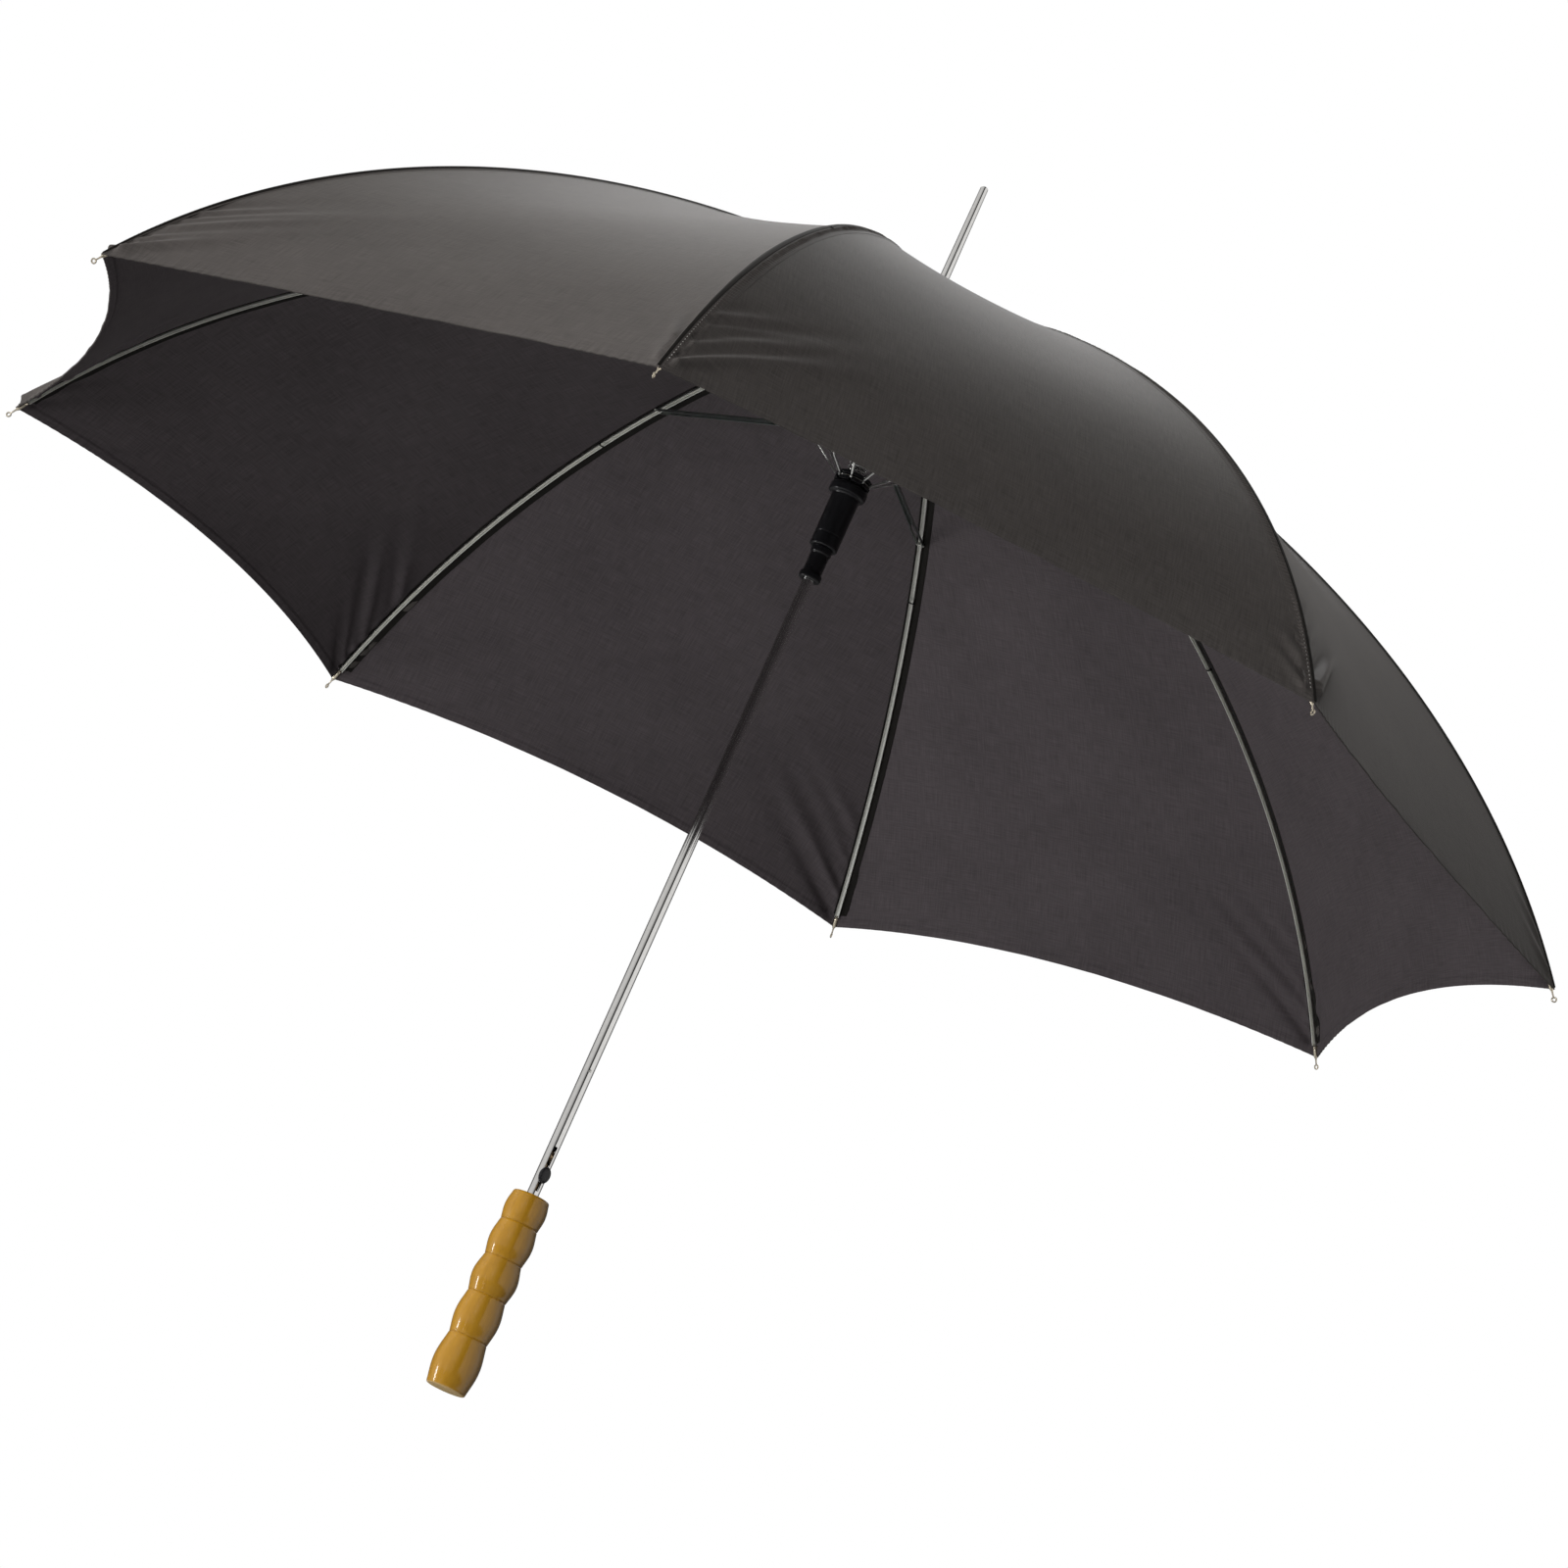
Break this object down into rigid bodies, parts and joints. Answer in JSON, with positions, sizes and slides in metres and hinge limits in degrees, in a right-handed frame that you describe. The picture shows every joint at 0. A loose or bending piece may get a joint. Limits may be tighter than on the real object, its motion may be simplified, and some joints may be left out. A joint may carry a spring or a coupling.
{
  "type": "stick umbrella",
  "caption": "Open stick umbrella: black fabric canopy on folding steel ribs, chromed shaft with sliding runners and release button, turned wooden handle.",
  "frame": {"origin": "centre of the flat end of the handle", "axes": "+Z along the shaft towards the ferrule; rib 1 points to -Y, and the ribs count clockwise seen from above"},
  "size_m": [1.0302, 1.0302, 0.821],
  "materials": {
    "canopy_fabric": "tight black woven polyester, slight sheen on the outside",
    "chrome": "bright chromed steel",
    "steel": "plated steel, satin",
    "dark_steel": "dark plated steel",
    "nickel": "warm nickel plate",
    "black_plastic": "moulded black plastic",
    "varnished_wood": "yellow-brown wood under clear varnish"
  },
  "bodies": {
    "root": {"handle": "varnished_wood", "shaft": "chrome", "ferrule": "chrome", "shaft_pin": "steel", "catch_spring": "steel", "top_notch": "black_plastic", "notch_wire": "steel", "canopy_cap": "canopy_fabric"},
    "lower_runner_body": {"lower_runner": "black_plastic", "runner_sleeve": "black_plastic", "lower_runner_wire": "steel", "opening_spring": "chrome"},
    "upper_runner_body": {"upper_runner": "black_plastic", "upper_runner_wire": "steel"},
    "button_body": {"release_button": "black_plastic"},
    "rib_body_1": {"rib_1": "steel", "rib_tip_1": "nickel", "canopy_panel_1": "canopy_fabric"},
    "stretcher_body_1": {"stretcher_1": "dark_steel"},
    "link_body_1": {"link_1": "chrome"},
    "rib_body_2": {"rib_2": "steel", "rib_tip_2": "nickel", "canopy_panel_2": "canopy_fabric"},
    "stretcher_body_2": {"stretcher_2": "dark_steel"},
    "link_body_2": {"link_2": "chrome"},
    "rib_body_3": {"rib_3": "steel", "rib_tip_3": "nickel", "canopy_panel_3": "canopy_fabric"},
    "stretcher_body_3": {"stretcher_3": "dark_steel"},
    "link_body_3": {"link_3": "chrome"},
    "rib_body_4": {"rib_4": "steel", "rib_tip_4": "nickel", "canopy_panel_4": "canopy_fabric"},
    "stretcher_body_4": {"stretcher_4": "dark_steel"},
    "link_body_4": {"link_4": "chrome"},
    "rib_body_5": {"rib_5": "steel", "rib_tip_5": "nickel", "canopy_panel_5": "canopy_fabric", "closure_strap": "canopy_fabric", "strap_button": "nickel"},
    "stretcher_body_5": {"stretcher_5": "dark_steel"},
    "link_body_5": {"link_5": "chrome"},
    "rib_body_6": {"rib_6": "steel", "rib_tip_6": "nickel", "canopy_panel_6": "canopy_fabric"},
    "stretcher_body_6": {"stretcher_6": "dark_steel"},
    "link_body_6": {"link_6": "chrome"},
    "rib_body_7": {"rib_7": "steel", "rib_tip_7": "nickel", "canopy_panel_7": "canopy_fabric"},
    "stretcher_body_7": {"stretcher_7": "dark_steel"},
    "link_body_7": {"link_7": "chrome"},
    "rib_body_8": {"rib_8": "steel", "rib_tip_8": "nickel", "canopy_panel_8": "canopy_fabric"},
    "stretcher_body_8": {"stretcher_8": "dark_steel"},
    "link_body_8": {"link_8": "chrome"}
  },
  "joints": [
    {"name": "runner_slide", "type": "slide", "parent": "root", "child": "lower_runner_body", "axis": [0, 0, 1], "range_m": [-0.395, 0], "stiffness_N_per_m": 40, "springref_m": 0.5, "deforming": ["catch_spring"]},
    {"name": "upper_runner_slide", "type": "slide", "parent": "root", "child": "upper_runner_body", "axis": [0, 0, 1], "range_m": [-0.3972, 0]},
    {"name": "release_press", "type": "slide", "parent": "root", "child": "button_body", "axis": [-0.5, 0.866, 0], "range_m": [0, 0.0015], "stiffness_N_per_m": 600, "deforming": ["catch_spring"]},
    {"name": "rib_fold_1", "type": "hinge", "parent": "root", "child": "rib_body_1", "pos_m": [0, -0.01, 0.731], "axis": [1, 0, 0], "range_deg": [0, 60.1], "deforming": ["canopy_panel_1"]},
    {"name": "stretcher_fold_1", "type": "hinge", "parent": "upper_runner_body", "child": "stretcher_body_1", "pos_m": [0, -0.01, 0.646], "axis": [-1, 0, 0], "range_deg": [0, 68.5]},
    {"name": "link_fold_1", "type": "hinge", "parent": "lower_runner_body", "child": "link_body_1", "pos_m": [0, -0.01, 0.6104], "axis": [-1, 0, 0], "range_deg": [0, 43.9]},
    {"name": "rib_fold_2", "type": "hinge", "parent": "root", "child": "rib_body_2", "pos_m": [-0.00707, -0.00707, 0.731], "axis": [0.7071, -0.7071, 0], "range_deg": [0, 60.1], "deforming": ["canopy_panel_2"]},
    {"name": "stretcher_fold_2", "type": "hinge", "parent": "upper_runner_body", "child": "stretcher_body_2", "pos_m": [-0.00707, -0.00707, 0.646], "axis": [-0.7071, 0.7071, 0], "range_deg": [0, 68.5]},
    {"name": "link_fold_2", "type": "hinge", "parent": "lower_runner_body", "child": "link_body_2", "pos_m": [-0.00707, -0.00707, 0.6104], "axis": [-0.7071, 0.7071, 0], "range_deg": [0, 43.9]},
    {"name": "rib_fold_3", "type": "hinge", "parent": "root", "child": "rib_body_3", "pos_m": [-0.01, 0, 0.731], "axis": [0, -1, 0], "range_deg": [0, 60.1], "deforming": ["canopy_panel_3"]},
    {"name": "stretcher_fold_3", "type": "hinge", "parent": "upper_runner_body", "child": "stretcher_body_3", "pos_m": [-0.01, 0, 0.646], "axis": [0, 1, 0], "range_deg": [0, 68.5]},
    {"name": "link_fold_3", "type": "hinge", "parent": "lower_runner_body", "child": "link_body_3", "pos_m": [-0.01, 0, 0.6104], "axis": [0, 1, 0], "range_deg": [0, 43.9]},
    {"name": "rib_fold_4", "type": "hinge", "parent": "root", "child": "rib_body_4", "pos_m": [-0.00707, 0.00707, 0.731], "axis": [-0.7071, -0.7071, 0], "range_deg": [0, 60.1], "deforming": ["canopy_panel_4"]},
    {"name": "stretcher_fold_4", "type": "hinge", "parent": "upper_runner_body", "child": "stretcher_body_4", "pos_m": [-0.00707, 0.00707, 0.646], "axis": [0.7071, 0.7071, 0], "range_deg": [0, 68.5]},
    {"name": "link_fold_4", "type": "hinge", "parent": "lower_runner_body", "child": "link_body_4", "pos_m": [-0.00707, 0.00707, 0.6104], "axis": [0.7071, 0.7071, 0], "range_deg": [0, 43.9]},
    {"name": "rib_fold_5", "type": "hinge", "parent": "root", "child": "rib_body_5", "pos_m": [0, 0.01, 0.731], "axis": [-1, 0, 0], "range_deg": [0, 60.1], "deforming": ["canopy_panel_5", "closure_strap", "strap_button"]},
    {"name": "stretcher_fold_5", "type": "hinge", "parent": "upper_runner_body", "child": "stretcher_body_5", "pos_m": [0, 0.01, 0.646], "axis": [1, 0, 0], "range_deg": [0, 68.5]},
    {"name": "link_fold_5", "type": "hinge", "parent": "lower_runner_body", "child": "link_body_5", "pos_m": [0, 0.01, 0.6104], "axis": [1, 0, 0], "range_deg": [0, 43.9]},
    {"name": "rib_fold_6", "type": "hinge", "parent": "root", "child": "rib_body_6", "pos_m": [0.00707, 0.00707, 0.731], "axis": [-0.7071, 0.7071, 0], "range_deg": [0, 60.1], "deforming": ["canopy_panel_6"]},
    {"name": "stretcher_fold_6", "type": "hinge", "parent": "upper_runner_body", "child": "stretcher_body_6", "pos_m": [0.00707, 0.00707, 0.646], "axis": [0.7071, -0.7071, 0], "range_deg": [0, 68.5]},
    {"name": "link_fold_6", "type": "hinge", "parent": "lower_runner_body", "child": "link_body_6", "pos_m": [0.00707, 0.00707, 0.6104], "axis": [0.7071, -0.7071, 0], "range_deg": [0, 43.9]},
    {"name": "rib_fold_7", "type": "hinge", "parent": "root", "child": "rib_body_7", "pos_m": [0.01, 0, 0.731], "axis": [0, 1, 0], "range_deg": [0, 60.1], "deforming": ["canopy_panel_7"]},
    {"name": "stretcher_fold_7", "type": "hinge", "parent": "upper_runner_body", "child": "stretcher_body_7", "pos_m": [0.01, 0, 0.646], "axis": [0, -1, 0], "range_deg": [0, 68.5]},
    {"name": "link_fold_7", "type": "hinge", "parent": "lower_runner_body", "child": "link_body_7", "pos_m": [0.01, 0, 0.6104], "axis": [0, -1, 0], "range_deg": [0, 43.9]},
    {"name": "rib_fold_8", "type": "hinge", "parent": "root", "child": "rib_body_8", "pos_m": [0.00707, -0.00707, 0.731], "axis": [0.7071, 0.7071, 0], "range_deg": [0, 60.1], "deforming": ["canopy_panel_8"]},
    {"name": "stretcher_fold_8", "type": "hinge", "parent": "upper_runner_body", "child": "stretcher_body_8", "pos_m": [0.00707, -0.00707, 0.646], "axis": [-0.7071, -0.7071, 0], "range_deg": [0, 68.5]},
    {"name": "link_fold_8", "type": "hinge", "parent": "lower_runner_body", "child": "link_body_8", "pos_m": [0.00707, -0.00707, 0.6104], "axis": [-0.7071, -0.7071, 0], "range_deg": [0, 43.9]}
  ],
  "couplings": [
    {"joint": "upper_runner_slide", "follows": "runner_slide", "ratio": 1.0051},
    {"joint": "rib_fold_1", "follows": "runner_slide", "rad_per_m": -2.6511},
    {"joint": "stretcher_fold_1", "follows": "runner_slide", "rad_per_m": -3.0209},
    {"joint": "link_fold_1", "follows": "runner_slide", "rad_per_m": -1.9337},
    {"joint": "rib_fold_2", "follows": "runner_slide", "rad_per_m": -2.6511},
    {"joint": "stretcher_fold_2", "follows": "runner_slide", "rad_per_m": -3.0209},
    {"joint": "link_fold_2", "follows": "runner_slide", "rad_per_m": -1.9337},
    {"joint": "rib_fold_3", "follows": "runner_slide", "rad_per_m": -2.6511},
    {"joint": "stretcher_fold_3", "follows": "runner_slide", "rad_per_m": -3.0209},
    {"joint": "link_fold_3", "follows": "runner_slide", "rad_per_m": -1.9337},
    {"joint": "rib_fold_4", "follows": "runner_slide", "rad_per_m": -2.6511},
    {"joint": "stretcher_fold_4", "follows": "runner_slide", "rad_per_m": -3.0209},
    {"joint": "link_fold_4", "follows": "runner_slide", "rad_per_m": -1.9337},
    {"joint": "rib_fold_5", "follows": "runner_slide", "rad_per_m": -2.6511},
    {"joint": "stretcher_fold_5", "follows": "runner_slide", "rad_per_m": -3.0209},
    {"joint": "link_fold_5", "follows": "runner_slide", "rad_per_m": -1.9337},
    {"joint": "rib_fold_6", "follows": "runner_slide", "rad_per_m": -2.6511},
    {"joint": "stretcher_fold_6", "follows": "runner_slide", "rad_per_m": -3.0209},
    {"joint": "link_fold_6", "follows": "runner_slide", "rad_per_m": -1.9337},
    {"joint": "rib_fold_7", "follows": "runner_slide", "rad_per_m": -2.6511},
    {"joint": "stretcher_fold_7", "follows": "runner_slide", "rad_per_m": -3.0209},
    {"joint": "link_fold_7", "follows": "runner_slide", "rad_per_m": -1.9337},
    {"joint": "rib_fold_8", "follows": "runner_slide", "rad_per_m": -2.6511},
    {"joint": "stretcher_fold_8", "follows": "runner_slide", "rad_per_m": -3.0209},
    {"joint": "link_fold_8", "follows": "runner_slide", "rad_per_m": -1.9337}
  ]
}
